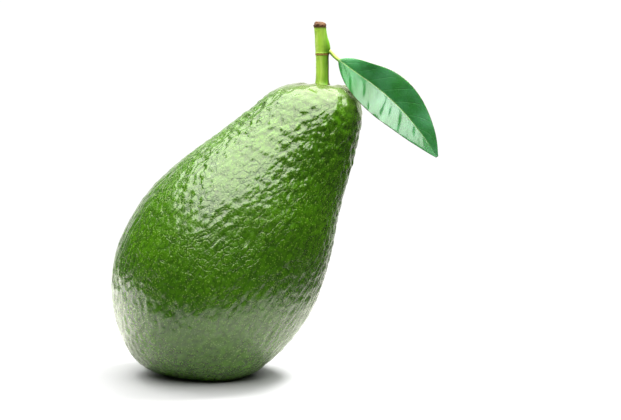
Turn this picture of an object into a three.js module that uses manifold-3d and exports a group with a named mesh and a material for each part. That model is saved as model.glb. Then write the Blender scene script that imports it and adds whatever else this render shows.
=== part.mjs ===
// A whole green-skinned avocado as picked: the fruit, the length of stem it hangs from, and one leaf.
// Millimetres, +Z up. The fruit leans to +X, and its front faces -Y.
// The origin is the middle of the small flat spot that the fruit rests on.
import * as THREE from "three";
import { mergeVertices } from "three/addons/utils/BufferGeometryUtils.js";
import Module from "manifold-3d";

// Fruit: the outline seen from the front, in pairs of points from the blunt end to the stem end.
// Each pair is one section of the fruit: [left x, left z, right x, right z].
const BLUNT_END = [-19.6, 2.0];
const SECTIONS = [
  [-28.0, 11.4, -4.8, -1.9],
  [-31.9, 27.2, 12.6, -0.9],
  [-30.0, 44.4, 26.6, 8.8],
  [-21.9, 61.0, 36.5, 23.2],
  [-9.2, 73.7, 43.1, 39.6],
  [4.9, 84.3, 46.9, 58.2],
  [16.2, 92.9, 51.4, 77.2],
  [23.4, 98.4, 54.0, 90.3],
  [31.0, 100.8, 50.6, 98.6],
];
const STEM_END = [40.4, 100.7];
const BELLY_DEPTH = 1; // how deep a section is, front to back, as a share of its width
const NECK_DEPTH = 0.93; // the same at the stem end
const STEM_SETBACK = 4.5; // how far behind the fruit's middle plane the stem stands
const SETBACK_FROM = 0.68; // share of the way to the stem end where the neck starts to turn back
const FACETS = 22; // splits of each icosahedron edge, for even facets about 2 mm across

// Skin: broad lumps, and pebbling drawn larger than life so that the facets can carry it.
const LUMP_WAVE = 34;
const LUMP_HEIGHT = 0.3;
const PEBBLE_WAVE = 7;
const PEBBLE_HEIGHT = 0.15;
const WAVES = 15; // plane waves that are added up for each kind of relief
const WAVE_SPREAD = 0.4; // how much the lengths of those waves differ
const GOLDEN_SHARE = (Math.sqrt(5) - 1) / 2;
const GOLDEN_ANGLE = Math.PI * (3 - Math.sqrt(5));

// Stem pit: the dimple round the stem, with a puckered rim.
const PIT_DEPTH = 1.5;
const PIT_RADIUS = 4.6;
const RIM_RADIUS = 7.4;
const RIM_WIDTH = 2.2;
const RIM_HEIGHT = 0.35;
const PUCKERS = 7;
const PUCKER_HEIGHT = 0.28;
const PEBBLES_FROM = 2.8; // distance from the stem's middle at which the pebbling starts
const PEBBLES_FULL = 10.4; // distance at which it reaches its full height

// Stem: a stalk that tapers upwards, with a joint ring, a leaf cushion and a dried cut end.
const ROOT_DEPTH = 3.2; // how far the stem's root goes below the bottom of the pit
const FOOT_RADIUS = 2.9;
const STEM_RADIUS = 2.25;
const TOP_RADIUS = 2.05;
const RING_HEIGHT = 110.8; // z of the joint ring
const RING_SWELL = 0.22;
const CUSHION_HEIGHT = 112.8; // z of the cushion that the leaf grows from
const CUSHION_REACH = 0.75;
const CUSHION_LENGTH = 2.1;
const CUSHION_HEADING = -0.2; // radians from +X, seen from above
const CUT_HEIGHT = 120.9; // z of the cut end's rim
const CUT_LIP = 0.18;
const CUT_DOME = 1.3;
const STEM_LEAN = -0.95; // how far the cut end stands to the left of the foot
const LEAN_FROM = 107.8; // z where the stem starts to lean
const STEM_RIBS = 5;
const RIB_HEIGHT = 0.05;
const STEM_SIDES = 28;
const JOINT_GAP = 0.3; // clear space between one piece and the next

// Leaf: its midrib from the stem to the tip, and the shape of the blade across it.
const MIDRIB = [
  [42.9, 4.1, 111.9],
  [45.4, 2.6, 109.4],
  [51.2, -1.2, 105.2],
  [60.0, -4.8, 98.8],
  [67.5, -7.8, 91.8],
  [74.0, -10.4, 83.9],
  [79.0, -12.2, 76.6],
];
const PETIOLE_SHARE = 0.095; // share of the midrib that is bare stalk
const PETIOLE_HALF_WIDTH = 0.65;
const BLADE_HALF_WIDTH = 9.2;
const BLADE_THICKNESS = 0.78;
const WIDEST_SKEW = 0.87; // under 1 puts the widest place nearer the stem
const BLADE_FULLNESS = 0.78; // under 1 makes the blade blunter at both ends
const TIP_HALF_WIDTH = 0.45;
const FOLD = THREE.MathUtils.degToRad(27); // how far each half is turned up from flat
const EDGE_CURL = 0.16; // how much of the fold the margins lose again
const EDGE_WAVES = 3.2;
const EDGE_WAVE_HEIGHT = 0.55;
const LOWER_EDGE_PHASE = 0.4; // radians, so that the two margins do not wave alike
const UPPER_EDGE_PHASE = 2.1;
const SHOULDER = 0.2; // how much narrower the upper half is where its margin leaves the stalk
const SHOULDER_SHARE = 0.28; // share of the midrib where it is narrowest
const SHOULDER_LENGTH = 0.13; // share of the midrib
const SIDE_VEINS = 9;
const QUILT_HEIGHT = 0.16;
const VEIN_SWEEP = 0.16; // how far a side vein runs forward by the time it meets the margin
const MIDRIB_HEIGHT = 0.7;
const MIDRIB_HALF_WIDTH = 0.75;
const MIDRIB_TAPER = 0.75; // how much of its height the midrib has lost at the tip
const FACING = new THREE.Vector3(0.12, -0.99, -0.03).normalize(); // where the middle of the leaf faces
const LEAF_ACROSS = 14;
const LEAF_ALONG = 44;

const wasm = await Module();
wasm.setup();

const outline = closedOutline();
const crown = new THREE.Vector3(STEM_END[0], STEM_SETBACK, STEM_END[1]);

// The outline as one closed curve: up the right side from the blunt end, and back down the left.
function closedOutline() {
  const right = SECTIONS.map(([, , x, z]) => new THREE.Vector3(x, 0, z));
  const left = SECTIONS.map(([x, z]) => new THREE.Vector3(x, 0, z)).reverse();
  const [blunt, top] = [BLUNT_END, STEM_END].map(([x, z]) => new THREE.Vector3(x, 0, z));
  return new THREE.CatmullRomCurve3([blunt, ...right, top, ...left], true, "catmullrom", 0.5);
}

function smoothstep(from, to, value) {
  return THREE.MathUtils.smoothstep(value, from, to);
}

// A point of the fruit before its skin relief: share runs from the blunt end to the stem end.
function bodyPoint(share, turn) {
  const right = outline.getPoint(share / 2);
  const left = outline.getPoint(1 - share / 2);
  const half = right.clone().sub(left).multiplyScalar(0.5);
  const depth = half.length() * THREE.MathUtils.lerp(BELLY_DEPTH, NECK_DEPTH, share);
  const point = left.clone().add(half).addScaledVector(half, Math.cos(turn));
  point.y += depth * Math.sin(turn) + STEM_SETBACK * smoothstep(SETBACK_FROM, 1, share);
  const fromStem = point.distanceTo(crown);
  point.z -= PIT_DEPTH * Math.exp(-((fromStem / PIT_RADIUS) ** 2));
  return point;
}

// A smooth, bumpy field with no direction of its own: plane waves that cross at golden angles.
function waveField(point, wavelength) {
  let sum = 0;
  for (let i = 0; i < WAVES; i++) {
    const up = 1 - (2 * (i + 0.5)) / WAVES;
    const flat = Math.sqrt(1 - up * up);
    const turn = i * GOLDEN_ANGLE;
    const along = point.x * flat * Math.cos(turn) + point.y * flat * Math.sin(turn) + point.z * up;
    const length = wavelength * (1 + WAVE_SPREAD * (((i * GOLDEN_SHARE) % 1) - 0.5));
    sum += Math.sin((2 * Math.PI * along) / length + i * i);
  }
  return sum * Math.sqrt(2 / WAVES);
}

// How far the skin stands out from the plain body at a point.
function relief(point, turn) {
  const fromStem = point.distanceTo(crown);
  const rim = Math.exp(-(((fromStem - RIM_RADIUS) / RIM_WIDTH) ** 2));
  const away = smoothstep(PEBBLES_FROM, PEBBLES_FULL, fromStem);
  const pucker = Math.cos(PUCKERS * turn + Math.sin(2 * turn));
  return (
    LUMP_HEIGHT * waveField(point, LUMP_WAVE) +
    PEBBLE_HEIGHT * waveField(point, PEBBLE_WAVE) * away +
    rim * (RIM_HEIGHT + PUCKER_HEIGHT * pucker)
  );
}

// A point on the skin, moved out along the body's own normal by the relief.
function skinPoint(direction) {
  const step = 1e-3;
  const share = Math.acos(THREE.MathUtils.clamp(-direction.z, -1, 1)) / Math.PI;
  const turn = Math.atan2(direction.y, direction.x);
  const inner = THREE.MathUtils.clamp(share, step, 1 - step);
  const point = bodyPoint(share, turn);
  const alongRow = bodyPoint(inner, turn + step).sub(bodyPoint(inner, turn - step));
  const upRow = bodyPoint(inner + step / 2, turn).sub(bodyPoint(inner - step / 2, turn));
  const normal = alongRow.cross(upRow).normalize();
  return point.addScaledVector(normal, relief(point, turn));
}

// A mesh geometry as a solid that can be cut, and back again.
function toSolid(geometry) {
  const bare = new THREE.BufferGeometry().setAttribute("position", geometry.getAttribute("position"));
  if (geometry.index) bare.setIndex(geometry.index);
  const merged = mergeVertices(bare, 1e-4);
  const index = merged.index.array;
  const kept = [];
  for (let i = 0; i < index.length; i += 3) {
    const [a, b, c] = [index[i], index[i + 1], index[i + 2]];
    if (a !== b && b !== c && c !== a) kept.push(a, b, c);
  }
  return new wasm.Manifold(
    new wasm.Mesh({
      numProp: 3,
      vertProperties: new Float32Array(merged.attributes.position.array),
      triVerts: new Uint32Array(kept),
    }),
  );
}

function toGeometry(solid) {
  const { vertProperties, triVerts } = solid.getMesh();
  const geometry = new THREE.BufferGeometry();
  geometry.setAttribute("position", new THREE.BufferAttribute(vertProperties, 3));
  geometry.setIndex(new THREE.BufferAttribute(triVerts, 1));
  geometry.computeVertexNormals();
  return geometry;
}

function moveVertices(geometry, place) {
  const position = geometry.getAttribute("position");
  const point = new THREE.Vector3();
  for (let i = 0; i < position.count; i++) {
    place(point.fromBufferAttribute(position, i));
    position.setXYZ(i, point.x, point.y, point.z);
  }
  return geometry;
}

// The stem's outline from its root up to its cut end, as pairs of radius and height.
function stemProfile() {
  const pitFloor = crown.z - PIT_DEPTH;
  const root = pitFloor - ROOT_DEPTH;
  const foot = [
    [STEM_RADIUS * 0.9, root],
    [STEM_RADIUS, root + 0.6],
    [STEM_RADIUS, pitFloor - 0.4],
    [FOOT_RADIUS, pitFloor + 0.3],
    [FOOT_RADIUS * 0.97, pitFloor + 0.9],
    [STEM_RADIUS * 1.06, pitFloor + 2.2],
    [STEM_RADIUS, pitFloor + 5],
  ];
  const ring = [
    [STEM_RADIUS, RING_HEIGHT - 0.8],
    [STEM_RADIUS + RING_SWELL, RING_HEIGHT - 0.25],
    [STEM_RADIUS + RING_SWELL * 0.3, RING_HEIGHT],
    [STEM_RADIUS + RING_SWELL, RING_HEIGHT + 0.25],
    [STEM_RADIUS, RING_HEIGHT + 0.9],
  ];
  const cushion = [
    [STEM_RADIUS, CUSHION_HEIGHT - 0.6],
    [STEM_RADIUS, CUSHION_HEIGHT + 0.8],
    [STEM_RADIUS * 0.97, CUSHION_HEIGHT + 2.2],
    [TOP_RADIUS, CUSHION_HEIGHT + 4],
  ];
  const cut = [
    [TOP_RADIUS, CUT_HEIGHT - 1.6],
    [TOP_RADIUS + CUT_LIP, CUT_HEIGHT - 0.7],
    [TOP_RADIUS + CUT_LIP, CUT_HEIGHT],
    [TOP_RADIUS * 0.72, CUT_HEIGHT + CUT_DOME * 0.75],
    [TOP_RADIUS * 0.3, CUT_HEIGHT + CUT_DOME],
  ];
  return [...foot, ...ring, ...cushion, ...cut];
}

// The stem, or with a clearance the hole that it needs in its neighbours.
function stemSolid(clearance) {
  const profile = stemProfile();
  const bottom = profile[0][1] - clearance;
  const top = CUT_HEIGHT + CUT_DOME * 0.9;
  const points = [
    new THREE.Vector2(0, bottom),
    new THREE.Vector2(profile[0][0] + clearance, bottom),
    ...profile.slice(1).map(([radius, z]) => new THREE.Vector2(radius + clearance, z)),
    new THREE.Vector2(0, top),
  ];
  const turned = new THREE.LatheGeometry(points, STEM_SIDES).rotateX(Math.PI / 2);
  return toSolid(moveVertices(turned, shapeStem));
}

// Swells the turned stem where the leaf grows from it, ribs it, and bends it to its lean.
function shapeStem(point) {
  const { x, y, z } = point;
  const around = Math.atan2(y, x);
  const reach = Math.exp(-(((z - CUSHION_HEIGHT) / CUSHION_LENGTH) ** 2));
  const toLeaf = Math.max(0, Math.cos(around - CUSHION_HEADING)) ** 3;
  const rib = RIB_HEIGHT * Math.cos(STEM_RIBS * around) * smoothstep(crown.z, crown.z + 3, z);
  const radius = Math.hypot(x, y);
  const grown = radius > 0 ? (radius + rib + CUSHION_REACH * reach * toLeaf) / radius : 1;
  const lean = STEM_LEAN * smoothstep(LEAN_FROM, CUT_HEIGHT + 3, z);
  point.set(crown.x + lean + x * grown, crown.y + y * grown, z);
}

// How wide half of the leaf is at a share of its length: the stalk, then the blade, then the tip.
function leafHalfWidth(share) {
  const onBlade = Math.max(0, (share - PETIOLE_SHARE) / (1 - PETIOLE_SHARE));
  const full = Math.sin(Math.PI * onBlade ** WIDEST_SKEW);
  const blade = BLADE_HALF_WIDTH * Math.max(0, full) ** BLADE_FULLNESS;
  const least = THREE.MathUtils.lerp(PETIOLE_HALF_WIDTH, TIP_HALF_WIDTH, share);
  return Math.hypot(blade, least);
}

// How far the blade stands up from flat, along it and across it: from -1 at the upper margin, as it
// hangs, to 1 at the lower one.
function leafRise(across, share) {
  const out = Math.abs(across);
  const fold = leafHalfWidth(share) * Math.sin(FOLD) * (out - EDGE_CURL * out * out);
  const phase = across > 0 ? LOWER_EDGE_PHASE : UPPER_EDGE_PHASE;
  const wave = EDGE_WAVE_HEIGHT * Math.sin(2 * Math.PI * EDGE_WAVES * share + phase) * out ** 2.5;
  const vein = Math.cos(2 * Math.PI * SIDE_VEINS * (share - VEIN_SWEEP * out));
  const quilt = -QUILT_HEIGHT * vein * Math.sin(Math.PI * out);
  const opening = smoothstep(PETIOLE_SHARE, PETIOLE_SHARE + 0.2, share);
  const closing = 1 - smoothstep(0.8, 1, share);
  return opening * (fold + (wave + quilt) * closing);
}

// The frame of the leaf at a share of the midrib: where it is, across, and out of its upper face.
function leafFrame(midrib, share) {
  const origin = midrib.getPointAt(share);
  const along = midrib.getTangentAt(share);
  const across = along.clone().cross(FACING).normalize();
  const out = across.clone().cross(along).normalize();
  return { origin, across, out };
}

// A point of the leaf's upper face (side 1) or lower face (side -1).
function leafPoint(midrib, across, share, side) {
  const { origin, across: sideways, out } = leafFrame(midrib, share);
  const slim = SHOULDER * Math.exp(-(((share - SHOULDER_SHARE) / SHOULDER_LENGTH) ** 2));
  const half = leafHalfWidth(share) * (across < 0 ? 1 - slim : 1);
  const ribShape = Math.exp(-(((across * half) / MIDRIB_HALF_WIDTH) ** 2));
  const rib = side < 0 ? MIDRIB_HEIGHT * (1 - MIDRIB_TAPER * share) * ribShape : 0;
  const height = leafRise(across, share) + side * (BLADE_THICKNESS / 2 + rib);
  origin.addScaledVector(sideways, across * half * Math.cos(FOLD));
  return origin.addScaledVector(out, height);
}

// The leaf as two like sheets, upper and lower, split into the same triangles and joined at the rim.
function leafSolid() {
  const midrib = new THREE.CatmullRomCurve3(MIDRIB.map((p) => new THREE.Vector3(...p)));
  const sheet = new THREE.PlaneGeometry(2, 1, LEAF_ACROSS, LEAF_ALONG);
  const pattern = sheet.getAttribute("position");
  const count = pattern.count;
  const points = [];
  for (const side of [1, -1]) {
    for (let i = 0; i < count; i++) {
      points.push(leafPoint(midrib, pattern.getX(i), 0.5 + pattern.getY(i), side));
    }
  }
  const index = [];
  for (let i = 0; i < sheet.index.count; i += 3) {
    const [a, b, c] = [0, 1, 2].map((k) => sheet.index.getX(i + k));
    index.push(a, b, c, count + a, count + c, count + b);
  }
  const rim = rimOf(LEAF_ACROSS + 1, LEAF_ALONG + 1);
  rim.forEach((a, i) => {
    const b = rim[(i + 1) % rim.length];
    index.push(a, count + a, b, b, count + a, count + b);
  });
  const geometry = new THREE.BufferGeometry().setFromPoints(points);
  geometry.setIndex(index);
  return toSolid(geometry);
}

// The indices round the border of a grid of vertices, counterclockwise seen from its front.
function rimOf(columns, rows) {
  const at = (column, row) => row * columns + column;
  const border = [];
  for (let row = 0; row < rows - 1; row++) border.push(at(0, row));
  for (let column = 0; column < columns - 1; column++) border.push(at(column, rows - 1));
  for (let row = rows - 1; row > 0; row--) border.push(at(columns - 1, row));
  for (let column = columns - 1; column > 0; column--) border.push(at(column, 0));
  return border;
}

// The fruit with its flat resting spot cut at z = 0 and the plain hole that the stem stands in.
function fruitSolid() {
  const ball = new THREE.IcosahedronGeometry(1, FACETS);
  ball.deleteAttribute("normal");
  ball.deleteAttribute("uv");
  const skin = moveVertices(mergeVertices(ball, 1e-5), (p) => p.copy(skinPoint(p.clone().normalize())));
  const ground = new THREE.BoxGeometry(200, 200, 50).translate(0, 0, -25);
  return toSolid(skin).subtract(toSolid(ground)).subtract(stemSolid(JOINT_GAP));
}

function piece(name, solid, colour, roughness) {
  const mesh = new THREE.Mesh(
    toGeometry(solid),
    new THREE.MeshStandardMaterial({ color: colour, roughness, metalness: 0 }),
  );
  mesh.name = name;
  return mesh;
}

const avocado = new THREE.Group();
avocado.add(
  piece("fruit", fruitSolid(), 0x3f7a1c, 0.35),
  piece("stem", stemSolid(0), 0x9cc83a, 0.5),
  piece("leaf", leafSolid().subtract(stemSolid(JOINT_GAP)), 0x2f7d3a, 0.4),
);

export default avocado;
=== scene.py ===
"""A green avocado as picked, with its stem and one leaf, dressed in a plain pale studio."""

import logging
import math
from collections.abc import Mapping, Sequence
from dataclasses import dataclass
from enum import Enum
from typing import Union

import bmesh
import bpy
import numpy as np
from mathutils import Matrix, Vector, noise


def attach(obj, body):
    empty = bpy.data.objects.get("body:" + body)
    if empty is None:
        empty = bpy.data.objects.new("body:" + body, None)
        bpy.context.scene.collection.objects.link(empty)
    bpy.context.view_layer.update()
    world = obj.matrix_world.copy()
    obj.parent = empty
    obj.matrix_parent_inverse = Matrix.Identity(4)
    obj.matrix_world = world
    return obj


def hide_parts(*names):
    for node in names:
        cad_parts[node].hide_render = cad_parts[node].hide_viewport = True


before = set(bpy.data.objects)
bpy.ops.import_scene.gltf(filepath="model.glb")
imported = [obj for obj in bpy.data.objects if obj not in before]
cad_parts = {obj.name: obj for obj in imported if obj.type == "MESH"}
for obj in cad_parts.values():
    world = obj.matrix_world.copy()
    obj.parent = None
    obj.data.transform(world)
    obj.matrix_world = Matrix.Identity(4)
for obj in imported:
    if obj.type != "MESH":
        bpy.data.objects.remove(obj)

MM = 0.001
BODY = "root"
GOLDEN_ANGLE = math.pi * (3 - math.sqrt(5))
GOLDEN_SHARE = (math.sqrt(5) - 1) / 2
# Blender's vector noise starts from the clock unless it is given a seed.
NOISE_SEED = 7
# How far apart the points are that a slope is taken from, as a share of the length or in radians.
SLOPE_STEP = 1e-3
# Nothing is divided by less than this.
TINY = 1e-6

Colour = tuple[float, float, float]
Span = tuple[float, float]
Rows = tuple[Span, ...]

log = logging.getLogger("avocado")


class Node(Enum):
    """The part's solids that the finer pieces stand for."""

    FRUIT = "fruit"
    STEM = "stem"
    LEAF = "leaf"


class Slot(Enum):
    """The part's material slots."""

    SKIN = "skin"
    STEM = "stem"
    LEAF = "leaf"


class CellFeature(Enum):
    """What is measured in a field of scattered cells."""

    TO_SEED = "F1"
    TO_EDGE = "DISTANCE_TO_EDGE"


class LeafFace(Enum):
    """The two faces of the leaf: the glossy one and the pale one under it."""

    UPPER = 1
    LOWER = -1


# Small helpers for shapes


def smoothstep(value: np.ndarray | float, low: float, high: float) -> np.ndarray | float:
    """Eases from 0 at low to 1 at high."""
    share = np.clip((value - low) / (high - low), 0, 1)
    return share * share * (3 - 2 * share)


def curve_points(stops: np.ndarray, places: np.ndarray, closed: bool) -> np.ndarray:
    """Points on a smooth curve that passes through its stops.

    Args:
        stops: The stops, one row each.
        places: Where to look, from 0 at the first stop to 1 at the last, or once round if closed.
        closed: Whether the last stop leads back to the first.

    Returns:
        One point for each place.
    """
    count = len(stops)
    spans = count if closed else count - 1
    where = np.clip(places, 0, 1) * spans
    start = np.minimum(where.astype(int), spans - 1)
    part = (where - start)[:, None]
    if closed:
        before, here, after, beyond = (stops[(start + step) % count] for step in (-1, 0, 1, 2))
    else:
        padded = np.vstack([2 * stops[0] - stops[1], stops, 2 * stops[-1] - stops[-2]])
        before, here, after, beyond = (padded[start + step] for step in (0, 1, 2, 3))
    leave, arrive = (after - before) / 2, (beyond - here) / 2
    squared, cubed = part**2, part**3
    return (
        (2 * cubed - 3 * squared + 1) * here
        + (cubed - 2 * squared + part) * leave
        + (3 * squared - 2 * cubed) * after
        + (cubed - squared) * arrive
    )


def wave_field(points: np.ndarray, wavelength: float, waves: int = 15, spread: float = 0.4) -> np.ndarray:
    """A smooth bumpy field with no direction of its own, from plane waves at golden angles.

    Args:
        points: Where to look, in millimetres.
        wavelength: The middle length of the waves.
        waves: How many are added up.
        spread: How much their lengths differ.

    Returns:
        One height for each point, about 1 in size.
    """
    total = np.zeros(len(points))
    for i in range(waves):
        up = 1 - (2 * (i + 0.5)) / waves
        flat = math.sqrt(1 - up * up)
        turn = i * GOLDEN_ANGLE
        along = points @ np.array([flat * math.cos(turn), flat * math.sin(turn), up])
        length = wavelength * (1 + spread * ((i * GOLDEN_SHARE) % 1 - 0.5))
        total += np.sin(2 * math.pi * along / length + i * i)
    return total * math.sqrt(2 / waves)


def soft_noise(points: np.ndarray) -> np.ndarray:
    """Blender's soft noise at each point, from about -1 to 1."""
    return np.array([noise.noise(Vector(row)) for row in points.tolist()])


def object_from(mesh: bmesh.types.BMesh, name: str, material: bpy.types.Material) -> bpy.types.Object:
    """Turns a finished bmesh into a smooth-shaded object at the origin.

    Args:
        mesh: The finished bmesh, which is freed.
        name: The object's name.
        material: Its finish.

    Returns:
        The new object.
    """
    data = bpy.data.meshes.new(name)
    mesh.to_mesh(data)
    mesh.free()
    data.shade_smooth()
    data.materials.append(material)
    piece = bpy.data.objects.new(name, data)
    bpy.context.scene.collection.objects.link(piece)
    return piece


def vertex_array(mesh: bmesh.types.BMesh) -> np.ndarray:
    """The vertices' places, one row each."""
    return np.array([vertex.co for vertex in mesh.verts])


def place_vertices(mesh: bmesh.types.BMesh, points: np.ndarray) -> None:
    """Moves each vertex to its row of points."""
    for vertex, point in zip(mesh.verts, points.tolist()):
        vertex.co = point


def hand_over(piece: bpy.types.Object, node: Node) -> bpy.types.Object:
    """Lets a piece stand for its solid, which is hidden, rides it on the part, and returns it."""
    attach(piece, BODY)
    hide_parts(node.value)
    return piece


# Shader building


def linear(red: int, green: int, blue: int) -> Colour:
    """A colour as a screen shows it, 0 to 255, turned into the amounts of light that a shader mixes."""

    def one(channel: int) -> float:
        """One channel in linear light, by the standard curve of screens."""
        share = channel / 255
        return share / 12.92 if share <= 0.04045 else ((share + 0.055) / 1.055) ** 2.4

    return one(red), one(green), one(blue)


Input = Union[float, Sequence[float], "Wire"]


class Wire:
    """A shader socket that can be used in Python arithmetic."""

    def __init__(self, shader: "Shader", socket: bpy.types.NodeSocket) -> None:
        """Wraps one output socket of a shader."""
        self.shader = shader
        self.socket = socket

    def __add__(self, other: Input) -> "Wire":
        """The sum of the two."""
        return self.shader.math("ADD", self, other)

    def __sub__(self, other: Input) -> "Wire":
        """This less the other."""
        return self.shader.math("SUBTRACT", self, other)

    def __rsub__(self, other: Input) -> "Wire":
        """The other less this."""
        return self.shader.math("SUBTRACT", other, self)

    def __mul__(self, other: Input) -> "Wire":
        """The product of the two."""
        return self.shader.math("MULTIPLY", self, other)

    def __abs__(self) -> "Wire":
        """The size of this, without its sign."""
        return self.shader.math("ABSOLUTE", self)

    __radd__ = __add__

    def eased(self, low: float, high: float) -> "Wire":
        """Eases from 0 where this is low to 1 where it is high, which may be below low."""
        if low > high:
            return 1 - self.eased(high, low)
        return self.shader.node(
            "ShaderNodeMapRange",
            {"interpolation_type": "SMOOTHSTEP"},
            {"Value": self, "From Min": low, "From Max": high},
        )


class Shader:
    """Builds one node tree, by plain expressions where it can."""

    def __init__(self, tree: bpy.types.NodeTree) -> None:
        """Starts an empty tree."""
        self.tree = tree
        tree.nodes.clear()

    def node(
        self,
        kind: str,
        settings: Mapping[str, object] | None = None,
        inputs: Mapping[str | int, Input] | None = None,
        output: str | int = 0,
    ) -> Wire:
        """Adds one node.

        Args:
            kind: The node's type.
            settings: What is set on it first.
            inputs: The values or links of its sockets, by name or number.
            output: The output to hand back.

        Returns:
            The chosen output.
        """
        made = self.tree.nodes.new(kind)
        for name, value in (settings or {}).items():
            setattr(made, name, value)
        for key, value in (inputs or {}).items():
            if isinstance(value, Wire):
                self.tree.links.new(value.socket, made.inputs[key])
            elif isinstance(value, (tuple, list, Vector)) and made.inputs[key].type == "RGBA":
                made.inputs[key].default_value = (*value, 1)
            else:
                made.inputs[key].default_value = value
        return Wire(self, made.outputs[output]) if len(made.outputs) else Wire(self, made.inputs[0])

    def math(self, operation: str, first: Input, second: Input = 0.0) -> Wire:
        """One step of arithmetic on values."""
        return self.node("ShaderNodeMath", {"operation": operation}, {0: first, 1: second})

    def mix(self, share: Input, first: Input, second: Input) -> Wire:
        """Mixes the first colour with a share of the second."""
        return self.node("ShaderNodeMix", {"data_type": "RGBA"}, {0: share, 6: first, 7: second}, 2)

    def place(self) -> Wire:
        """Where a point of the surface is on its object, in metres."""
        return self.node("ShaderNodeTexCoord", output="Object")

    def attribute(self, name: str) -> Wire:
        """A number that the mesh carries on its vertices."""
        return self.node("ShaderNodeAttribute", {"attribute_name": name}, output="Fac")

    def noise(self, where: Wire, scale: float, detail: float = 2.0, roughness: float = 0.5) -> Wire:
        """Soft random blotches, about 0 to 1, with finer layers on them that are as strong as roughness."""
        inputs = {"Vector": where, "Scale": scale, "Detail": detail, "Roughness": roughness}
        return self.node("ShaderNodeTexNoise", inputs=inputs, output="Fac")

    def cells(self, where: Wire, scale: float, feature: CellFeature) -> Wire:
        """A distance in scattered cells, as a share of a cell's size."""
        settings = {"feature": feature.value}
        return self.node("ShaderNodeTexVoronoi", settings, {"Vector": where, "Scale": scale}, "Distance")

    def stretched(self, where: Wire, scale: Sequence[float], turn: Sequence[float] = (0, 0, 0)) -> Wire:
        """Coordinates turned, in radians, and then stretched by a factor along each axis."""
        inputs = {"Vector": where, "Rotation": turn, "Scale": scale}
        return self.node("ShaderNodeMapping", {"vector_type": "TEXTURE"}, inputs)

    def distance(self, where: Wire, point: Sequence[float]) -> Wire:
        """How far the coordinates are from a point, in metres."""
        return self.node("ShaderNodeVectorMath", {"operation": "DISTANCE"}, {0: where, 1: point}, "Value")

    def bent(self, where: Wire, scale: float, amount: float) -> Wire:
        """Coordinates that are shifted by soft blotches, by up to an amount in metres."""
        blotches = self.node("ShaderNodeTexNoise", inputs={"Vector": where, "Scale": scale}, output="Color")
        inputs = {0: blotches, 1: (amount, amount, amount), 2: where}
        return self.node("ShaderNodeVectorMath", {"operation": "MULTIPLY_ADD"}, inputs)

    def axis(self, where: Wire, letter: str) -> Wire:
        """One of the three coordinates."""
        return self.node("ShaderNodeSeparateXYZ", inputs={0: where}, output=letter)

    def bump(self, height: Wire, distance: float, strength: float = 1.0) -> Wire:
        """A normal that is tilted by a height, where a height of 1 is a distance in metres."""
        inputs = {"Height": height, "Distance": distance, "Strength": strength}
        return self.node("ShaderNodeBump", inputs=inputs)

    def surface(self, **inputs: Input) -> None:
        """Ends the tree with one Principled surface, whose sockets are named with _ for spaces."""
        named = {key.replace("_", " "): value for key, value in inputs.items()}
        finished = self.node("ShaderNodeBsdfPrincipled", inputs=named)
        self.node("ShaderNodeOutputMaterial", inputs={"Surface": finished})


def new_material(name: str) -> tuple[bpy.types.Material, Shader]:
    """An empty material and the builder of its tree."""
    material = bpy.data.materials.new(name)
    material.use_nodes = True
    return material, Shader(material.node_tree)


# Finishes


# In a finish, a scale is in blotches or cells for each metre, and distances are in metres.


@dataclass(frozen=True)
class Fade:
    """Where something starts, where it is full, and how much it counts there."""

    start: float
    full: float
    share: float = 1.0

    def of(self, value: Wire) -> Wire:
        """Fades a value in, from 0 at the start to the share where it is full."""
        return value.eased(self.start, self.full) * self.share


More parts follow.
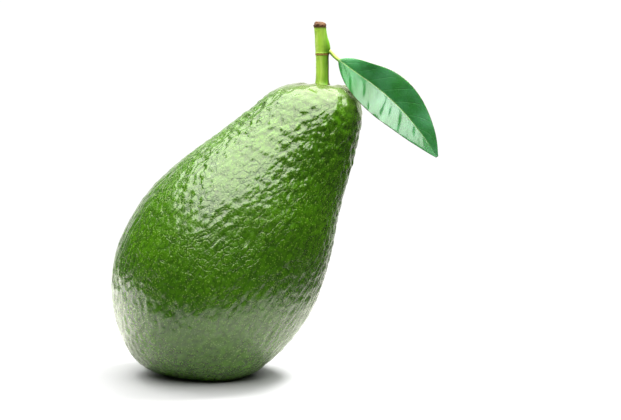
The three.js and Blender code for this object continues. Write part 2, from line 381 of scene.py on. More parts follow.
@dataclass(frozen=True)
class SkinFinish:
    """Waxy pebbled skin: deep green, freckled with pale pores, browner round the stem, with painted shade in
    its grooves and creases and a greyer tint round the stem pit that is partly painted highlight.
    """

    deep: Colour = linear(49, 98, 0)
    fresh: Colour = linear(82, 138, 4)
    # Painted shade: darker green for the grooves between the pebbles and for the creases.
    groove_shade: Colour = linear(32, 72, 0)
    pore: Colour = linear(140, 182, 72)
    # Greyer tint round the stem pit: partly the stem end's own tone, partly painted to grey the highlight
    # that falls there.
    crown: Colour = linear(92, 98, 66)
    scar: Colour = linear(84, 74, 34)
    sheen: Colour = linear(255, 252, 240)
    wax: Colour = linear(255, 250, 222)
    patch_scale: float = 38.0
    patch: Fade = Fade(0.32, 0.72, 0.75)
    neck: Fade = Fade(0.1, 0.05, 0.35)
    fresh_share: float = 0.6
    streak_scale: float = 420.0
    streak_length: float = 3.0
    streak: Fade = Fade(0.35, 0.75, 0.35)
    groove_shading: Fade = Fade(0.42, 0.02, 0.55)
    crowned: Fade = Fade(0.023, 0.005, 0.65)
    scarred: Fade = Fade(0.0068, 0.0035, 0.8)
    scar_scale: float = 600.0
    broken: Fade = Fade(0.3, 0.6)
    pore_scale: float = 1250.0
    pore_size_scale: float = 260.0
    pore_size: Fade = Fade(0.35, 0.65, 0.1)
    pored: Fade = Fade(0.28, 0.08)
    pore_clear: Fade = Fade(0.012, 0.032)
    pore_share: float = 0.5
    crease_scale: float = 430.0
    crease_length: float = 1.6
    crease_bend_scale: float = 300.0
    crease_bend: float = 3 * MM
    crease_patch_scale: float = 130.0
    creased: Fade = Fade(0, 0.13)
    crease_clear: Fade = Fade(0.008, 0.03)
    crease_shade_share: float = 0.4
    crease_relief: float = 1.3
    wrinkle_scale: float = 950.0
    wrinkled: Fade = Fade(0, 0.3, 0.5)
    grain_scale: float = 1500.0
    grain_relief: float = 0.6
    pore_relief: float = 0.15
    relief_height: float = 0.08 * MM
    roughness: float = 0.22
    patch_roughness: float = 0.06
    pore_roughness: float = 0.1
    coat: float = 0.64
    crown_coat: float = 0.55

    def creases(self, shader: Shader, where: Wire, from_crown: Wire, axis_tilt: float) -> tuple[Wire, Wire]:
        """Fine creases that run along the fruit in some places.

        Args:
            shader: The builder of the skin's tree.
            where: Where a point is on the skin.
            from_crown: How far it is from the stem pit.
            axis_tilt: How far the fruit leans to +X, in radians.

        Returns:
            The height, which is 0 in a crease and 1 elsewhere, and how creased the skin is there.
        """
        bent = shader.bent(where, self.crease_bend_scale, self.crease_bend)
        along = shader.stretched(bent, (1, 1, self.crease_length), (0, axis_tilt, 0))
        height = self.creased.of(shader.cells(along, self.crease_scale, CellFeature.TO_EDGE))
        patches = self.broken.of(shader.noise(where, self.crease_patch_scale))
        return height, patches * self.crease_clear.of(from_crown)

    def pores(self, shader: Shader, where: Wire, from_crown: Wire) -> Wire:
        """Pale pores of mixed sizes, with none round the stem pit.

        Args:
            shader: The builder of the skin's tree.
            where: Where a point is on the skin.
            from_crown: How far it is from the stem pit.

        Returns:
            1 in a pore and 0 elsewhere.
        """
        seeds = shader.cells(where, self.pore_scale, CellFeature.TO_SEED)
        size = self.pore_size.of(shader.noise(where, self.pore_size_scale, detail=1))
        return self.pored.of(seeds - size) * self.pore_clear.of(from_crown)

    def material(self, crown_point: Vector, axis_tilt: float) -> bpy.types.Material:
        """Mixes the skin.

        Args:
            crown_point: The middle of the stem pit, in metres.
            axis_tilt: How far the fruit leans to +X, in radians.

        Returns:
            The finished material.
        """
        material, shader = new_material("avocado_skin")
        where = shader.place()
        from_crown = shader.distance(where, crown_point)
        patches = self.patch.of(shader.noise(where, self.patch_scale, detail=4, roughness=0.55))
        patches = patches + self.neck.of(from_crown)
        lengthwise = shader.stretched(where, (1, 1, self.streak_length), (0, axis_tilt, 0))
        streaks = self.streak.of(shader.noise(lengthwise, self.streak_scale, detail=3))
        colour = shader.mix(patches * self.fresh_share + streaks, self.deep, self.fresh)
        # Painted shade in the grooves between the pebbles.
        colour = shader.mix(self.groove_shading.of(shader.attribute("pebble")), colour, self.groove_shade)
        near_crown = self.crowned.of(from_crown)
        # Greyer tint round the stem pit, partly painted to grey the highlight that falls there.
        colour = shader.mix(near_crown, colour, self.crown)
        scar = self.scarred.of(from_crown) * self.broken.of(shader.noise(where, self.scar_scale))
        colour = shader.mix(scar, colour, self.scar)
        pores = self.pores(shader, where, from_crown)
        colour = shader.mix(pores * self.pore_share, colour, self.pore)
        creases, creased = self.creases(shader, where, from_crown, axis_tilt)
        # Painted shade in the creases.
        colour = shader.mix((1 - creases) * creased * self.crease_shade_share, colour, self.groove_shade)
        grain = shader.noise(where, self.grain_scale, detail=3, roughness=0.6)
        wrinkles = self.wrinkled.of(shader.cells(where, self.wrinkle_scale, CellFeature.TO_EDGE))
        relief = grain * self.grain_relief + pores * self.pore_relief + wrinkles
        relief = relief + creases * creased * self.crease_relief
        shader.surface(
            Base_Color=colour,
            Roughness=self.roughness + patches * self.patch_roughness + pores * self.pore_roughness,
            IOR=1.62,
            Specular_Tint=self.sheen,
            Coat_Weight=near_crown * self.crown_coat + self.coat,
            Coat_IOR=1.65,
            Coat_Tint=self.wax,
            Coat_Roughness=0.14,
            Normal=shader.bump(relief, self.relief_height),
        )
        return material


@dataclass(frozen=True)
class StemFinish:
    """Fresh green bark, darker towards its foot and browner at its joint, with painted shade down its right
    side, and dried brown where it was cut.
    """

    bark: Colour = linear(168, 218, 60)
    bright: Colour = linear(222, 246, 128)
    # Darker green: the bark's own blotches, painted shade down the right side, and the darker foot.
    shade: Colour = linear(84, 140, 22)
    rust: Colour = linear(150, 96, 34)
    cut: Colour = linear(96, 64, 36)
    pith: Colour = linear(178, 160, 132)
    # Painted shade: a dark brown line down the right edge below the joint.
    right_edge_shade: Colour = linear(66, 60, 26)
    fibre_scale: float = 1100.0
    fibre_length: float = 9.0
    fibre: Fade = Fade(0.3, 0.8, 0.7)
    blotch_scale: float = 260.0
    blotch: Fade = Fade(0.5, 0.75, 0.4)
    side_waver: float = 0.5 * MM
    shaded: Fade = Fade(39.7 * MM, 42.3 * MM, 0.85)
    right_edge_shading: Fade = Fade(42.3 * MM, 42.7 * MM, 0.9)
    foot_height: float = 6 * MM
    foot_share: float = 0.5
    ring_waver: float = 0.7 * MM
    ringed: Fade = Fade(0.45 * MM, 0.15 * MM)
    ring_share: float = 0.9
    spot_scale: float = 900.0
    spot: Fade = Fade(0.2, 0.08, 0.5)
    spot_patch: Fade = Fade(0.45, 0.6)
    dried_below: Span = (1.5 * MM, 0.7 * MM)
    pith_height: float = 0.7 * MM
    pith_patch: Fade = Fade(0.35, 0.6)
    roughness: float = 0.4
    dried_roughness: float = 0.4
    ring_roughness: float = 0.2
    ring_relief: float = -0.5
    relief_height: float = 0.12 * MM

    def material(self, foot: float, joint: float, end: float) -> bpy.types.Material:
        """Mixes the bark.

        Args:
            foot: The height at which the stem leaves the fruit, in metres.
            joint: The height of its joint ring.
            end: The height at which it was cut.

        Returns:
            The finished material.
        """
        material, shader = new_material("avocado_stem")
        where = shader.place()
        height = shader.axis(where, "Z")
        upright = shader.stretched(where, (1, 1, self.fibre_length))
        fibres = shader.noise(upright, self.fibre_scale, detail=3, roughness=0.6)
        blotches = shader.noise(where, self.blotch_scale, detail=3)
        side = shader.axis(where, "X") + blotches * self.side_waver
        colour = shader.mix(self.fibre.of(fibres), self.bark, self.bright)
        colour = shader.mix(self.blotch.of(blotches), colour, self.shade)
        # Painted shade down the right side.
        colour = shader.mix(self.shaded.of(side), colour, self.shade)
        low = height.eased(foot + self.foot_height, foot)
        colour = shader.mix(low * self.foot_share, colour, self.shade)
        wavering = height + (blotches - 0.5) * self.ring_waver
        ring = self.ringed.of(abs(wavering - joint))
        colour = shader.mix(ring * self.ring_share, colour, self.rust)
        # Painted shade: a dark line down the right edge below the joint.
        colour = shader.mix(self.right_edge_shading.of(side) * height.eased(joint + MM, joint), colour, self.right_edge_shade)
        spots = self.spot.of(shader.cells(where, self.spot_scale, CellFeature.TO_SEED))
        colour = shader.mix(spots * self.spot_patch.of(blotches), colour, self.rust)
        dried = wavering.eased(end - self.dried_below[0], end - self.dried_below[1])
        heart = wavering.eased(end, end + self.pith_height)
        wood = shader.mix(heart * self.pith_patch.of(blotches), self.cut, self.pith)
        colour = shader.mix(dried, colour, wood)
        shader.surface(
            Base_Color=colour,
            Roughness=self.roughness + dried * self.dried_roughness + ring * self.ring_roughness,
            Normal=shader.bump(fibres + ring * self.ring_relief, self.relief_height, strength=0.6),
        )
        return material


@dataclass(frozen=True)
class LeafFinish:
    """Glossy leaf: deep green above with pale veins, paler and duller underneath."""

    deep: Colour = linear(38, 134, 38)
    fresh: Colour = linear(78, 162, 100)
    vein: Colour = linear(96, 166, 90)
    midrib: Colour = linear(140, 190, 110)
    underside: Colour = linear(112, 150, 88)
    margin: Colour = linear(104, 112, 84)
    stalk: Colour = linear(176, 206, 80)
    blotch_scale: float = 110.0
    blotch: Fade = Fade(0.3, 0.7)
    vein_waver: float = 0.12
    vein_line: Fade = Fade(0.055, 0.012)
    vein_reach: Fade = Fade(0.97, 0.7)
    vein_share: float = 0.18
    net_scale: float = 520.0
    net: Fade = Fade(0.075, 0.01)
    net_share: float = 0.08
    underside_share: float = 0.75
    midrib_line: Fade = Fade(0.34, 0.14)
    midrib_reach: Fade = Fade(1.05, 0.6)
    margin_line: Fade = Fade(0.955, 0.985)
    stalk_blend: float = 0.02
    vein_relief: float = -0.5
    net_relief: float = -0.12
    grain_scale: float = 1400.0
    grain_relief: float = 0.15
    relief_height: float = 0.12 * MM
    roughness: float = 0.5
    underside_roughness: float = 0.15
    blotch_roughness: float = 0.08
    gloss: Fade = Fade(0.22, 0.5, 0.76)
    least_gloss: float = 0.12
    tip_loss: Fade = Fade(0.6, 0.85, 0.15)

    def material(self, side_veins: int, vein_sweep: float, stalk_share: float) -> bpy.types.Material:
        """Mixes the leaf's two faces.

        Args:
            side_veins: How many side veins each half has.
            vein_sweep: How far a vein runs forward by the margin, as a share of the length.
            stalk_share: The share of the length that is bare stalk.

        Returns:
            The finished material.
        """
        material, shader = new_material("avocado_leaf")
        where = shader.place()
        across = abs(shader.attribute("across"))
        share = shader.attribute("share")
        from_rib = abs(shader.attribute("from_rib"))
        under = shader.attribute("under")
        blotches = shader.noise(where, self.blotch_scale, detail=4)
        colour = shader.mix(self.blotch.of(blotches), self.deep, self.fresh)
        phase = (share - across * vein_sweep) * side_veins + (blotches - 0.5) * self.vein_waver
        wrapped = abs(shader.math("FRACT", phase + 0.5) - 0.5)
        side_vein = self.vein_line.of(wrapped) * self.vein_reach.of(across)
        net = self.net.of(shader.cells(where, self.net_scale, CellFeature.TO_EDGE))
        colour = shader.mix(net * self.net_share, colour, self.vein)
        colour = shader.mix(side_vein * self.vein_share, colour, self.vein)
        colour = shader.mix(under * self.underside_share, colour, self.underside)
        colour = shader.mix(self.midrib_line.of(from_rib) * self.midrib_reach.of(share), colour, self.midrib)
        colour = shader.mix(self.margin_line.of(across), colour, self.margin)
        bare = share.eased(stalk_share + self.stalk_blend, stalk_share - self.stalk_blend)
        colour = shader.mix(bare, colour, self.stalk)
        grain = shader.noise(where, self.grain_scale)
        relief = side_vein * self.vein_relief + net * self.net_relief + grain * self.grain_relief
        gloss = self.gloss.of(share) + self.least_gloss - self.tip_loss.of(share)
        shader.surface(
            Base_Color=colour,
            Roughness=self.roughness + under * self.underside_roughness + blotches * self.blotch_roughness,
            IOR=1.5,
            Subsurface_Weight=0.3,
            Subsurface_Radius=(0.4, 1.0, 0.3),
            Subsurface_Scale=0.8 * MM,
            Coat_Weight=(1 - under) * gloss,
            Coat_IOR=1.85,
            Coat_Roughness=0.16,
            Normal=shader.bump(relief, self.relief_height, strength=0.7),
        )
        return material


# The pieces


@dataclass
class Fruit:
    """The fruit's skin, over the same outline as its solid. Its sizes are in millimetres.

    Each section is a pair of points of the outline: left x, left z, right x, right z.
    """

    blunt_end: tuple[float, float] = (-19.6, 2.0)
    sections: tuple[tuple[float, float, float, float], ...] = (
        (-28.0, 11.4, -4.8, -1.9),
        (-31.9, 27.2, 12.6, -0.9),
        (-30.0, 44.4, 26.6, 8.8),
        (-21.9, 61.0, 36.5, 23.2),
        (-9.2, 73.7, 43.1, 39.6),
        (4.9, 84.3, 46.9, 58.2),
        (16.2, 92.9, 51.4, 77.2),
        (23.4, 98.4, 54.0, 90.3),
        (31.0, 100.8, 50.6, 98.6),
    )
    stem_end: tuple[float, float] = (40.4, 100.7)
    belly_depth: float = 1.0
    neck_depth: float = 0.93
    stem_setback: float = 4.5
    setback_from: float = 0.68
    calm_span: Span = (10, 30)
    least_relief: float = 0.15
    rough_span: Span = (0.35, 0.7)
    axis_tilt: float = math.radians(33.2)
    lump_wave: float = 34.0
    lump_height: float = 0.3
    pit_depth: float = 1.5
    pit_radius: float = 4.6
    rim_radius: float = 7.4
    rim_width: float = 2.2
    rim_height: float = 0.2
    puckers: int = 7
    pucker_height: float = 0.2
    pebble_size: float = 1.75
    pebble_middle: float = 0.6
    pebble_bend: float = 0.45
    pebble_bend_size: float = 0.7
    pebble_steepness: float = 2.6
    pebble_share: float = 0.7
    dimple_share: float = 0.3
    dimple_size: float = 1.7
    belly_pebbles: float = 0.14
    neck_pebbles: float = 0.28
    ripple_span: Span = (0.5, 0.76)
    ripple_size: float = 3.6
    belly_ripples: float = 0.045
    neck_ripples: float = 0.125
    grain_stretch: float = 1.4
    wrinkle_size: float = 2.4
    wrinkle_run: float = 42.0
    wrinkle_bend: float = 0.5
    wrinkle_bend_size: float = 0.6
    wrinkle_crest: float = 0.7
    wrinkle_depth: float = 2.0
    wrinkle_height: float = 0.2
    neck_wrinkle_loss: float = 0.7
    flat_softness: float = 0.5
    ball_subdivisions: int = 6
    extra_cuts: int = 2
    finish: SkinFinish = SkinFinish()

    @property
    def crown(self) -> np.ndarray:
        """The middle of the stem pit's mouth."""
        return np.array([self.stem_end[0], self.stem_setback, self.stem_end[1]])

    def outline(self) -> np.ndarray:
        """The outline's stops: up the right side from the blunt end, and back down the left."""
        right = [(x, z) for _, _, x, z in self.sections]
        left = [(x, z) for x, z, _, _ in reversed(self.sections)]
        return np.array([self.blunt_end, *right, self.stem_end, *left])

    def body_points(self, share: np.ndarray, turn: np.ndarray) -> np.ndarray:
        """The plain body, before its skin relief.

        Args:
            share: From 0 at the blunt end to 1 at the stem end.
            turn: The angle round the body, in radians.

        Returns:
            One point for each pair.
        """
        stops = self.outline()
        right = curve_points(stops, share / 2, closed=True)
        left = curve_points(stops, 1 - share / 2, closed=True)
        half = (right - left) / 2
        middle = (right + left) / 2 + half * np.cos(turn)[:, None]
        ratio = self.belly_depth + (self.neck_depth - self.belly_depth) * share
        depth = np.linalg.norm(half, axis=1) * ratio * np.sin(turn)
        depth += self.stem_setback * smoothstep(share, self.setback_from, 1)
        points = np.stack([middle[:, 0], depth, middle[:, 1]], axis=1)
        from_stem = np.linalg.norm(points - self.crown, axis=1)
        points[:, 2] -= self.pit_depth * np.exp(-((from_stem / self.pit_radius) ** 2))
        return points

    def normals(self, share: np.ndarray, turn: np.ndarray) -> np.ndarray:
        """The directions out of the plain body.

        Args:
            share: From 0 at the blunt end to 1 at the stem end.
            turn: The angle round the body, in radians.

        Returns:
            One unit vector for each pair.
        """
        step = SLOPE_STEP
        inner = np.clip(share, step, 1 - step)
        around = self.body_points(inner, turn + step) - self.body_points(inner, turn - step)
        upward = self.body_points(inner + step / 2, turn) - self.body_points(inner - step / 2, turn)
        out = np.cross(around, upward)
        return out / np.linalg.norm(out, axis=1)[:, None]

    def pebbles(self, points: np.ndarray) -> np.ndarray:
        """The fine relief: rounded pebbles between narrow grooves, longer along the fruit.

        Args:
            points: Where to look, in millimetres.

        Returns:
            One height for each point, 0 in the grooves and 1 on the pebbles.
        """
        lean, rise = math.sin(self.axis_tilt), math.cos(self.axis_tilt)
        squeeze = 1 - 1 / self.grain_stretch
        along = points @ np.array([lean, 0, rise])
        squeezed = points - np.outer(along * squeeze, [lean, 0, rise])
        heights = np.empty(len(points))
        for i, row in enumerate(squeezed.tolist()):
            place = Vector(row) / self.pebble_size
            bent = place + noise.noise_vector(place * self.pebble_bend_size) * self.pebble_bend
            near, second = noise.voronoi(bent)[0][:2]
            dimples = noise.noise(place * self.dimple_size) * self.dimple_share
            heights[i] = min(1, (second - near) * self.pebble_steepness) * self.pebble_share + dimples
        return heights

    def wrinkles(self, points: np.ndarray, share: np.ndarray, turn: np.ndarray) -> np.ndarray:
        """Long shallow wrinkles that run from end to end.

        Args:
            points: Points of the plain body.
            share: From 0 at the blunt end to 1 at the stem end.
            turn: The angle round the body, in radians.

        Returns:
            One height for each point, from about -1 to 1.
        """
        stops = self.outline()
        span = curve_points(stops, share / 2, closed=True) - curve_points(stops, 1 - share / 2, closed=True)
        half = np.linalg.norm(span, axis=1) / 2
        spread = np.stack([half * np.cos(turn), half * np.sin(turn), share * self.wrinkle_run], axis=1)
        heights = np.empty(len(points))
        for i, row in enumerate((spread / self.wrinkle_size).tolist()):
            place = Vector(row)
            bent = place + noise.noise_vector(place * self.wrinkle_bend_size) * self.wrinkle_bend
            heights[i] = self.wrinkle_crest - self.wrinkle_depth * abs(noise.noise(bent))
        return heights

    def relief(
        self, points: np.ndarray, share: np.ndarray, turn: np.ndarray
    ) -> tuple[np.ndarray, np.ndarray]:
        """How far the skin stands out from the plain body, in millimetres.

        Args:
            points: Points of the plain body.
            share: From 0 at the blunt end to 1 at the stem end.
            turn: The angle round the body of each.

        Returns:
            The relief, and the height of the pebbles alone.
        """
        from_stem = np.linalg.norm(points - self.crown, axis=1)
        rim = np.exp(-(((from_stem - self.rim_radius) / self.rim_width) ** 2))
        pucker = np.cos(self.puckers * turn + np.sin(2 * turn))
        pebble = self.pebbles(points)
        calm = self.least_relief + (1 - self.least_relief) * smoothstep(from_stem, *self.calm_span)
        rough = smoothstep(share, *self.rough_span)
        pebble_height = self.belly_pebbles + (self.neck_pebbles - self.belly_pebbles) * rough
        neck = smoothstep(share, *self.ripple_span) * calm
        ripple_height = self.belly_ripples + (self.neck_ripples - self.belly_ripples) * neck
        total = (
            self.lump_height * wave_field(points, self.lump_wave)
            + ripple_height * wave_field(points, self.ripple_size)
            + pebble_height * (pebble - self.pebble_middle) * calm
            + self.wrinkle_height * self.wrinkles(points, share, turn) * (1 - self.neck_wrinkle_loss * rough)
            + rim * (self.rim_height + self.pucker_height * pucker)
        )
        return total, pebble

    def skin(self) -> bpy.types.Object:
        """Builds the skin from a ball that is drawn out to the fruit's form."""
        ball = bmesh.new()
        bmesh.ops.create_icosphere(ball, subdivisions=self.ball_subdivisions, radius=1)
        bmesh.ops.subdivide_edges(ball, edges=ball.edges[:], cuts=self.extra_cuts, use_grid_fill=True)
        around = vertex_array(ball)
        around /= np.linalg.norm(around, axis=1)[:, None]
        share = np.arccos(np.clip(-around[:, 2], -1, 1)) / math.pi
        turn = np.arctan2(around[:, 1], around[:, 0])
        points = self.body_points(share, turn)
        height, pebble = self.relief(points, share, turn)
        points += self.normals(share, turn) * height[:, None]
        points[:, 2] = (points[:, 2] + np.sqrt(points[:, 2] ** 2 + self.flat_softness**2)) / 2
        layer = ball.verts.layers.float.new("pebble")
        for vertex, value in zip(ball.verts, pebble.tolist()):
            vertex[layer] = value
        place_vertices(ball, points * MM)
        material = self.finish.material(Vector(self.crown) * MM, self.axis_tilt)
        return object_from(ball, "avocado_skin", material)

    def build(self) -> list[bpy.types.Object]:
        """Makes the fruit's pieces."""
        return [hand_over(self.skin(), Node.FRUIT)]


@dataclass
class Stem:
    """The length of stalk that the fruit hung from. Its sizes are in millimetres.

    Rows are pairs of the radius and the height above the pit floor, the ring, the cushion or the cut.
    """

    middle: tuple[float, float] = (40.4, 4.5)
    pit_floor: float = 99.2
    root_rows: Rows = ((0, -3.2), (2.025, -3.2), (2.25, -2.6), (2.25, -0.4))
    foot_rows: Rows = ((2.9, 0.3), (2.813, 0.9), (2.385, 2.2), (2.25, 5))
    ring_height: float = 110.8
    ring_rows: Rows = ((2.25, -0.8), (2.39, -0.25), (2.292, 0), (2.39, 0.25), (2.25, 0.9))
    cushion_height: float = 112.8
    cushion_rows: Rows = ((2.25, 0.8), (2.1825, 2.2), (2.05, 4))
    cushion_focus: int = 3
    cushion_reach: float = 0.8
    cushion_below: float = 1.5
    cushion_above: float = 4.2
    cushion_heading: float = -0.2
    cut_height: float = 120.9
    cut_rows: Rows = ((2.05, -1.6), (2.17, -0.7), (2.17, 0), (1.476, 0.75), (0.615, 1), (0, 0.9))
    cut_grain: float = 1.4
    cut_crumbs: float = 0.34
    dried_below: Span = (0.9, 0.3)
    lean: float = -0.95
    lean_span: Span = (107.8, 123.9)
    ribs: int = 5
    rib_height: float = 0.06
    ribbed_above: Span = (1.5, 4.5)
    fibre_turns: float = 3.0
    fibre_rise: float = 0.35
    fibre_height: float = 0.05
    sides: int = 72
    rings: int = 150
    merge_within: float = 1e-5
    finish: StemFinish = StemFinish()

    def profile(self) -> np.ndarray:
        """The outline from root to cut end, as rows of radius and height."""
        parts = (
            (self.pit_floor, self.root_rows + self.foot_rows),
            (self.ring_height, self.ring_rows),
            (self.cushion_height, self.cushion_rows),
            (self.cut_height, self.cut_rows),
        )
        stops = [(radius, base + height) for base, rows in parts for radius, height in rows]
        line = curve_points(np.array(stops), np.linspace(0, 1, self.rings), closed=False)
        line[:, 0] = np.maximum(line[:, 0], 0)
        line[[0, -1], 0] = 0
        return line

    def shaped(self, points: np.ndarray) -> np.ndarray:
        """Swells the turned stem where the leaf grows, ribs it and bends it to its lean.

        Args:
            points: Points of the turned stem, standing on the Z axis, in millimetres.

        Returns:
            The same points in place.
        """
        x, y, z = points.T
        around = np.arctan2(y, x)
        radius = np.hypot(x, y)
        length = np.where(z < self.cushion_height, self.cushion_below, self.cushion_above)
        reach = np.exp(-(((z - self.cushion_height) / length) ** 2))
        to_leaf = np.maximum(0, np.cos(around - self.cushion_heading)) ** self.cushion_focus
        free = smoothstep(z - self.pit_floor, *self.ribbed_above)
        circle = self.fibre_turns * np.stack([np.cos(around), np.sin(around)], axis=1)
        fibres = soft_noise(np.column_stack([circle, z * self.fibre_rise]))
        outward = self.rib_height * np.cos(self.ribs * around) * free + self.fibre_height * fibres
        outward += self.cushion_reach * reach * to_leaf
        crumbs = soft_noise(points * self.cut_grain)
        dried = smoothstep(z, *(self.cut_height - below for below in self.dried_below))
        outward += self.cut_crumbs * crumbs * dried
        z = z + self.cut_crumbs * np.roll(crumbs, 1) * dried * np.minimum(1, radius)
        moved = radius + outward * np.minimum(1, radius)
        grown = np.where(radius > TINY, moved / np.maximum(radius, TINY), 1)
        lean = self.lean * smoothstep(z, *self.lean_span)
        return np.stack([self.middle[0] + lean + x * grown, self.middle[1] + y * grown, z], axis=1)

    def stalk(self) -> bpy.types.Object:
        """Builds the stalk by spinning its outline."""
        turned = bmesh.new()
        line = [turned.verts.new((radius, 0, height)) for radius, height in self.profile()]
        edges = [turned.edges.new(pair) for pair in zip(line, line[1:])]
        bmesh.ops.spin(
            turned,
            geom=line + edges,
            cent=(0, 0, 0),
            axis=(0, 0, 1),
            angle=math.tau,
            steps=self.sides,
            use_merge=True,
        )
        bmesh.ops.remove_doubles(turned, verts=turned.verts, dist=self.merge_within)
        bmesh.ops.recalc_face_normals(turned, faces=turned.faces)
        place_vertices(turned, self.shaped(vertex_array(turned)) * MM)
        material = self.finish.material(self.pit_floor * MM, self.ring_height * MM, self.cut_height * MM)
        return object_from(turned, "stem_stalk", material)

    def build(self) -> list[bpy.types.Object]:
        """Makes the stem's pieces."""
        return [hand_over(self.stalk(), Node.STEM)]


@dataclass
class Leaf:
    """The one leaf, folded along its midrib. Its sizes are in millimetres."""

    midrib: tuple[tuple[float, float, float], ...] = (
        (42.9, 4.1, 111.9),
        (45.4, 2.6, 109.4),
        (51.2, -1.2, 105.2),
        (60.0, -4.8, 98.8),
        (67.5, -7.8, 91.8),
        (74.0, -10.4, 83.9),
        (79.0, -12.2, 76.6),
    )
    stalk_share: float = 0.095
    stalk_half_width: float = 0.72
    half_width: float = 9.2
    thickness: float = 0.5
    widest_skew: float = 0.87
    fullness: float = 0.78
    tip_half_width: float = 0.6
    fold: float = math.radians(27)
    edge_curl: float = 0.16
    edge_waves: float = 3.2
    edge_wave_height: float = 0.55
    edge_wave_focus: float = 2.5
    lower_phase: float = 0.4
    upper_phase: float = 2.1
    side_veins: int = 9
    upper_quilt: float = 0.03
    lower_quilt: float = 0.2
    pleats: float = 24.0
    pleat_sweep: float = 0.1
    pleat_change: float = 0.7
    upper_pleats: float = 0.04
    lower_pleats: float = 0.8
    tip_calm: float = 0.6
    tip_calm_span: Span = (0.48, 0.72)
    flat_span: Span = (0.7, 0.95)
    opening_length: float = 0.2
    shoulder: float = 0.2
    shoulder_share: float = 0.28
    shoulder_length: float = 0.13
    vein_sweep: float = 0.16
    rib_height: float = 0.6
    rib_half_width: float = 0.7
    rib_taper: float = 0.75
    rib_groove: float = 0.18
    margin_squareness: int = 8
    blade_start: Span = (-0.01, 0.06)
    facing: tuple[float, float, float] = (0.12, -0.99, -0.03)
    midrib_samples: int = 2001
    across_steps: int = 72
    along_steps: int = 240
    merge_within: float = 1e-4
    finish: LeafFinish = LeafFinish()

    def half_widths(self, share: np.ndarray) -> np.ndarray:
        """Half of the leaf's width at shares of its length."""
        blade = np.maximum(0, (share - self.stalk_share) / (1 - self.stalk_share))
        full = np.maximum(0, np.sin(math.pi * blade**self.widest_skew))
        least = self.stalk_half_width + (self.tip_half_width - self.stalk_half_width) * share
        return np.hypot(self.half_width * full**self.fullness, least)

    def rise(self, across: np.ndarray, share: np.ndarray) -> np.ndarray:
        """How far the blade stands up from flat.

        Args:
            across: From -1 at the margin that hangs higher to 1 at the lower one.
            share: From 0 at the stem to 1 at the tip.

        Returns:
            The rise at each place.
        """
        out = np.abs(across)
        lower = across > 0
        fold = self.half_widths(share) * math.sin(self.fold) * (out - self.edge_curl * out**2)
        phase = np.where(lower, self.lower_phase, self.upper_phase)
        wave = np.sin(math.tau * self.edge_waves * share + phase) * out**self.edge_wave_focus
        vein = np.cos(math.tau * self.side_veins * (share - self.vein_sweep * out))
        quilt = -np.where(lower, self.lower_quilt, self.upper_quilt) * vein * np.sin(math.pi * out)
        run = (share - self.pleat_sweep * out) * self.pleats
        folds = soft_noise(np.stack([run, out * self.pleat_change, np.zeros(len(out))], axis=1))
        pleat_height = np.where(lower, self.lower_pleats, self.upper_pleats)
        quilt += pleat_height * folds * np.sqrt(np.sin(math.pi * out))
        opening = smoothstep(share, self.stalk_share, self.stalk_share + self.opening_length)
        closing = 1 - smoothstep(share, *self.flat_span)
        closing *= 1 - self.tip_calm * smoothstep(share, *self.tip_calm_span) * lower
        return opening * (fold + (self.edge_wave_height * wave + quilt) * closing)

    def frames(self, share: np.ndarray) -> tuple[np.ndarray, np.ndarray, np.ndarray]:
        """Where the midrib is, which way is across, and which way is out of the upper face.

        Args:
            share: From 0 at the stem to 1 at the tip, by length.

        Returns:
            The places, the directions across, and the directions out.
        """
        stops = np.array(self.midrib)
        fine = np.linspace(0, 1, self.midrib_samples)
        line = curve_points(stops, fine, closed=False)
        run = np.concatenate([[0], np.cumsum(np.linalg.norm(np.diff(line, axis=0), axis=1))])
        place = np.interp(share, run / run[-1], fine)
        origin = curve_points(stops, place, closed=False)
        ahead = curve_points(stops, np.minimum(place + SLOPE_STEP, 1), closed=False)
        behind = curve_points(stops, np.maximum(place - SLOPE_STEP, 0), closed=False)
        along = (ahead - behind) / np.linalg.norm(ahead - behind, axis=1)[:, None]
        across = np.cross(along, np.array(self.facing))
        across /= np.linalg.norm(across, axis=1)[:, None]
        return origin, across, np.cross(across, along)

    def surface(self, across: np.ndarray, share: np.ndarray, face: np.ndarray) -> np.ndarray:
        """Points of the leaf's two faces.

        Args:
            across: From -1 at one margin to 1 at the other.
            share: From 0 at the stem to 1 at the tip.
            face: The number of the face that each point is on.

        Returns:
            One point for each place.
        """
        origin, sideways, out = self.frames(share)
        slim = self.shoulder * np.exp(-(((share - self.shoulder_share) / self.shoulder_length) ** 2))
        half = self.half_widths(share) * (1 - np.where(across < 0, slim, 0))
        rib_shape = np.exp(-(((across * half) / self.rib_half_width) ** 2))
        rib = self.rib_height * (1 - self.rib_taper * share) * rib_shape
        rib = np.where(face < 0, rib, -self.rib_groove * rib)
        margin = np.sqrt(np.maximum(0, 1 - np.abs(across) ** self.margin_squareness))
        sheet = self.thickness / 2 * margin + rib * margin
        round_stalk = self.stalk_half_width * np.sqrt(np.maximum(0, 1 - across**2))
        bladed = smoothstep(share - self.stalk_share, *self.blade_start)
        height = self.rise(across, share) + face * (sheet * bladed + round_stalk * (1 - bladed))
        return origin + sideways * (across * half * math.cos(self.fold))[:, None] + out * height[:, None]

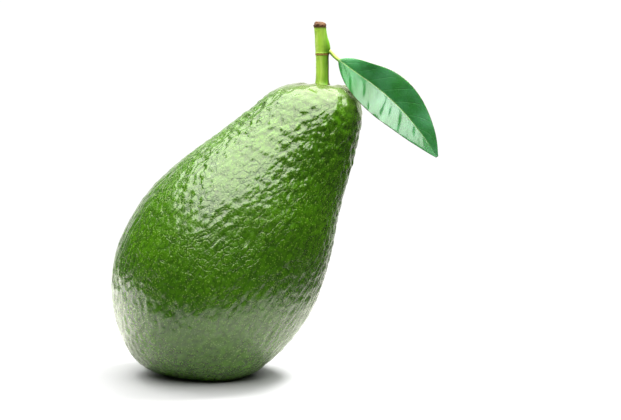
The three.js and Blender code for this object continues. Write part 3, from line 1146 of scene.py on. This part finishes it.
    def blade(self) -> bpy.types.Object:
        """Builds the leaf from a grid that is extruded to two faces and then shaped."""
        sheet = bmesh.new()
        bmesh.ops.create_grid(sheet, x_segments=self.across_steps, y_segments=self.along_steps, size=1)
        across_layer, share_layer, under_layer, rib_layer = (
            sheet.verts.layers.float.new(name) for name in ("across", "share", "under", "from_rib")
        )
        for vertex in sheet.verts:
            vertex[across_layer] = math.sin(vertex.co.x * math.pi / 2) * 0.5 + vertex.co.x * 0.5
            vertex[share_layer] = (vertex.co.y + 1) / 2
        doubled = bmesh.ops.extrude_face_region(sheet, geom=sheet.faces[:], use_keep_orig=True)
        for vertex in (item for item in doubled["geom"] if isinstance(item, bmesh.types.BMVert)):
            vertex[under_layer] = 1
        across = np.array([vertex[across_layer] for vertex in sheet.verts])
        share = np.array([vertex[share_layer] for vertex in sheet.verts])
        under = np.array([vertex[under_layer] for vertex in sheet.verts])
        face = np.where(under > 0.5, LeafFace.LOWER.value, LeafFace.UPPER.value)
        from_rib = across * self.half_widths(share)
        for vertex, value in zip(sheet.verts, from_rib.tolist()):
            vertex[rib_layer] = value
        place_vertices(sheet, self.surface(across, share, face) * MM)
        bmesh.ops.remove_doubles(sheet, verts=sheet.verts, dist=self.merge_within * MM)
        bmesh.ops.recalc_face_normals(sheet, faces=sheet.faces)
        material = self.finish.material(self.side_veins, self.vein_sweep, self.stalk_share)
        return object_from(sheet, "leaf_blade", material)

    def build(self) -> list[bpy.types.Object]:
        """Makes the leaf's pieces."""
        return [hand_over(self.blade(), Node.LEAF)]


# The studio


@dataclass(frozen=True)
class Lamp:
    """A rectangular soft light. Its sizes are in metres."""

    name: str
    place: tuple[float, float, float]
    aim: tuple[float, float, float]
    size: tuple[float, float]
    power: float
    spread: float = math.pi
    mirrored: bool = True

    def build(self) -> None:
        """Hangs the light where it belongs, facing its aim."""
        data = bpy.data.lights.new(self.name, "AREA")
        data.shape = "RECTANGLE"
        data.size, data.size_y = self.size
        data.energy = self.power
        data.spread = self.spread
        lamp = bpy.data.objects.new(self.name, data)
        bpy.context.scene.collection.objects.link(lamp)
        facing = (Vector(self.place) - Vector(self.aim)).to_track_quat("Z", "Y")
        lamp.matrix_world = Matrix.LocRotScale(self.place, facing, None)
        lamp.visible_glossy = self.mirrored


@dataclass
class Studio:
    """The pale floor, the soft lights and the camera.

    The photograph's frame gives the view: its size and the place of the part in it are in pixels.
    """

    photo_width: int = 621
    photo_height: int = 420
    pixels_per_mm: float = 2.9
    origin_column: float = 205.0
    ground_row: float = 376.3
    camera_elevation: float = math.radians(6)
    lens: float = 100.0
    sensor: float = 36.0
    floor_middle: tuple[float, float] = (-0.05, 0.08)
    floor_radius: float = 0.32
    floor_full: float = 0.12
    front_slant: float = 0.12
    front_edge: Span = (-0.09, -0.04)
    right_edge: Span = (0.11, 0.05)
    floor_colour: Colour = (0.48, 0.48, 0.48)
    floor_roughness: float = 0.55
    floor_sides: int = 96
    glow_span: Span = (0.66, 0.96)
    least_glow: float = 0.05
    seen_white: float = 1.05
    lamps: tuple[Lamp, ...] = (
        Lamp("overhead_softbox", place=(0, -0.19, 0.62), aim=(0, -0.19, 0), size=(1.05, 1.22), power=17.5),
        Lamp(
            "floor_light",
            place=(-0.20, 0.09, 0.32),
            aim=(-0.20, 0.09, 0),
            size=(0.15, 0.15),
            power=0.62,
            spread=math.radians(70),
            mirrored=False,
        ),
        Lamp(
            "side_light",
            place=(0.26, 0.15, 0.60),
            aim=(0.01, 0, 0),
            size=(0.14, 0.14),
            power=8.0,
            mirrored=False,
        ),
    )

    def target(self) -> Vector:
        """The point at the middle of the picture."""
        across = (self.photo_width / 2 - self.origin_column) / self.pixels_per_mm
        up = (self.ground_row - self.photo_height / 2) / self.pixels_per_mm
        return Vector((across, 0, up)) * MM

    def camera(self) -> None:
        """Sets the camera at the photograph's distance and angle."""
        data = bpy.data.cameras.new("camera")
        data.lens = self.lens
        data.sensor_width = self.sensor
        camera = bpy.data.objects.new("camera", data)
        bpy.context.scene.collection.objects.link(camera)
        distance = self.photo_width / self.pixels_per_mm * MM * self.lens / self.sensor
        back = Vector((0, -math.cos(self.camera_elevation), math.sin(self.camera_elevation)))
        place = self.target() + back * distance
        camera.matrix_world = Matrix.Translation(place) @ back.to_track_quat("Z", "Y").to_matrix().to_4x4()
        bpy.context.scene.camera = camera

    def floor(self) -> None:
        """Lays the pale floor, which fades out into the white behind it."""
        disc = bmesh.new()
        middle = Vector((*self.floor_middle, 0))
        bmesh.ops.create_circle(disc, cap_ends=True, segments=self.floor_sides, radius=self.floor_radius)
        bmesh.ops.translate(disc, verts=disc.verts, vec=middle)
        material, shader = new_material("pale_floor")
        where = shader.place()
        solid = shader.distance(where, middle).eased(self.floor_radius, self.floor_full)
        sideways = shader.axis(where, "X")
        slanted = shader.axis(where, "Y") + sideways * self.front_slant
        solid = solid * slanted.eased(*self.front_edge) * sideways.eased(*self.right_edge)
        shader.surface(Base_Color=self.floor_colour, Roughness=self.floor_roughness, Alpha=solid)
        floor = object_from(disc, "floor", material)

    def surroundings(self) -> None:
        """Gives the room a pale glow behind the part, and shows the camera plain white."""
        world = bpy.data.worlds.new("studio")
        bpy.context.scene.world = world
        world.use_nodes = True
        shader = Shader(world.node_tree)
        direction = shader.node("ShaderNodeTexCoord", output="Generated")
        depth = shader.axis(direction, "Y")
        glow = depth.eased(*self.glow_span) + self.least_glow
        seen = shader.node("ShaderNodeLightPath", output="Is Camera Ray")
        strength = glow * (1 - seen) + seen * self.seen_white
        light = shader.node("ShaderNodeBackground", inputs={"Color": (1, 1, 1), "Strength": strength})
        shader.node("ShaderNodeOutputWorld", inputs={"Surface": light})

    def build(self) -> None:
        """Sets up everything round the part."""
        bpy.context.scene.view_settings.view_transform = "Standard"
        self.floor()
        self.surroundings()
        for lamp in self.lamps:
            lamp.build()
        self.camera()


def main() -> None:
    """Builds the pieces and the studio."""
    logging.basicConfig(level=logging.INFO, format="%(name)s: %(message)s")
    noise.seed_set(NOISE_SEED)
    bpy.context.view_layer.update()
    for sub_assembly in (Fruit(), Stem(), Leaf()):
        for piece in sub_assembly.build():
            log.info("%s: %d faces", piece.name, len(piece.data.polygons))
    Studio().build()


if __name__ == "__main__":
    main()
